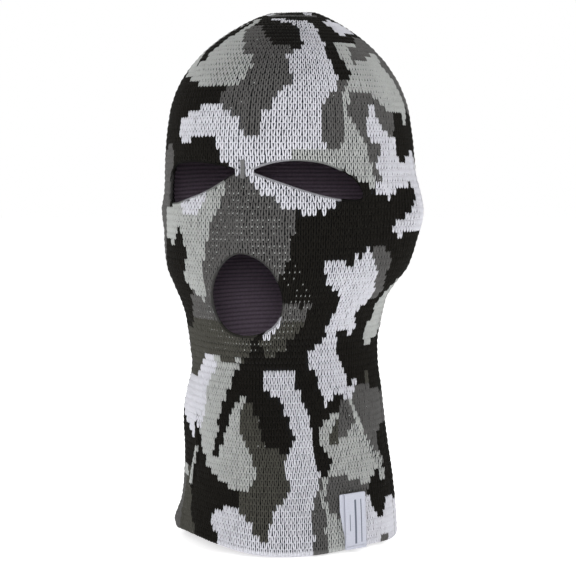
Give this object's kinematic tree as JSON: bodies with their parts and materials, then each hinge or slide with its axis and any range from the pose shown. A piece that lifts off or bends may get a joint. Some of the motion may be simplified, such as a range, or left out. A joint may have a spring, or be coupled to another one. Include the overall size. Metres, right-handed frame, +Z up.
{
  "type": "balaclava",
  "caption": "Knitted three-hole balaclava in grey, black and white camouflage, shaped as on a head, with rolled eye and mouth edges and a folded neck label.",
  "frame": {"origin": "middle of the base of the object's box, on the surface that the neck hem stands on", "axes": "+Z up from the hem to the crown, -Y the way the face looks, +X the wearer's left"},
  "size_m": [0.1806, 0.2, 0.352],
  "materials": {
    "knit": "matte acrylic jacquard knit in black, dark grey, light grey and white",
    "dark_rib": "matte dark fine-ribbed knit",
    "edging": "matte overlocked yarn",
    "seam_yarn": "matte dark yarn",
    "grey_thread": "matte grey sewing thread",
    "woven_tape": "soft white woven tape",
    "label_thread": "matte pale sewing thread"
  },
  "bodies": {
    "balaclava": {"front_panel": "knit", "back_panel": "knit", "hem_turn_up": "knit", "inner_lining": "dark_rib", "left_side_seam": "seam_yarn", "right_side_seam": "seam_yarn", "crown_seam": "seam_yarn", "hem_stitching": "seam_yarn", "left_eye_binding": "edging", "right_eye_binding": "edging", "mouth_binding": "edging", "bridge_bartack": "grey_thread"},
    "label": {"label": "woven_tape", "label_stitching": "label_thread"}
  },
  "joints": [
    {"name": "label_flap", "type": "hinge", "parent": "balaclava", "child": "label", "pos_m": [0.05891, -0.04325, 0.0026], "axis": [0.5752, 0.818, 0], "range_deg": [0, 90]}
  ]
}
